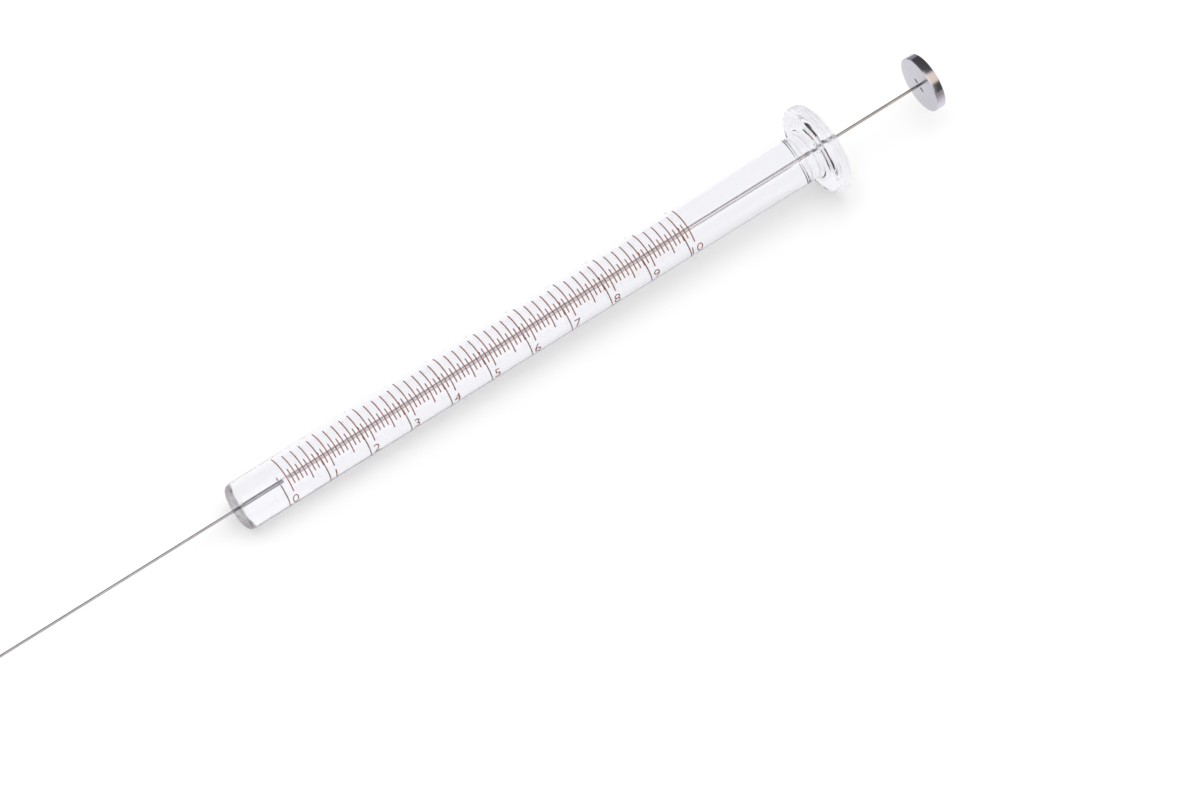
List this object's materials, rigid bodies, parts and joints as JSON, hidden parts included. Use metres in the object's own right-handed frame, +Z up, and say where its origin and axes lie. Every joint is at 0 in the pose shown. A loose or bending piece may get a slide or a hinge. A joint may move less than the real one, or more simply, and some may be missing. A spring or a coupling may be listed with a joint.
{
  "type": "microsyringe",
  "caption": "Graduated glass microsyringe with a cemented needle, flared finger flange and sliding wire plunger with a disc button.",
  "frame": {"origin": "centre of the barrel's flat glass face at the needle end, on the axis of the bore", "axes": "+X along the bore, from the needle towards the plunger button; +Z up as the syringe lies; +Y to the left of +X. The scale's reading line is turned 24 degrees from +Z towards -Y"},
  "size_m": [0.1554, 0.0124, 0.0124],
  "materials": {
    "borosilicate_glass": "clear, fire-polished",
    "needle_steel": "drawn stainless steel",
    "clear_cement": "clear epoxy",
    "plunger_steel": "ground stainless wire",
    "seal_polymer": "white fluoropolymer",
    "button_metal": "bright nickel plate, turned",
    "scale_enamel": "fired brown enamel"
  },
  "bodies": {
    "barrel": {"glass_barrel": "borosilicate_glass", "needle": "needle_steel", "needle_cement": "clear_cement", "marks_unit": "scale_enamel", "marks_half": "scale_enamel", "marks_even": "scale_enamel", "marks_odd": "scale_enamel", "marks_back": "scale_enamel"},
    "plunger": {"plunger_rod": "plunger_steel", "plunger_seal": "seal_polymer", "plunger_button": "button_metal"}
  },
  "joints": [
    {"name": "plunger_slide", "type": "slide", "parent": "barrel", "child": "plunger", "axis": [1, 0, 0], "range_m": [-0.00077, 0.05923]}
  ]
}
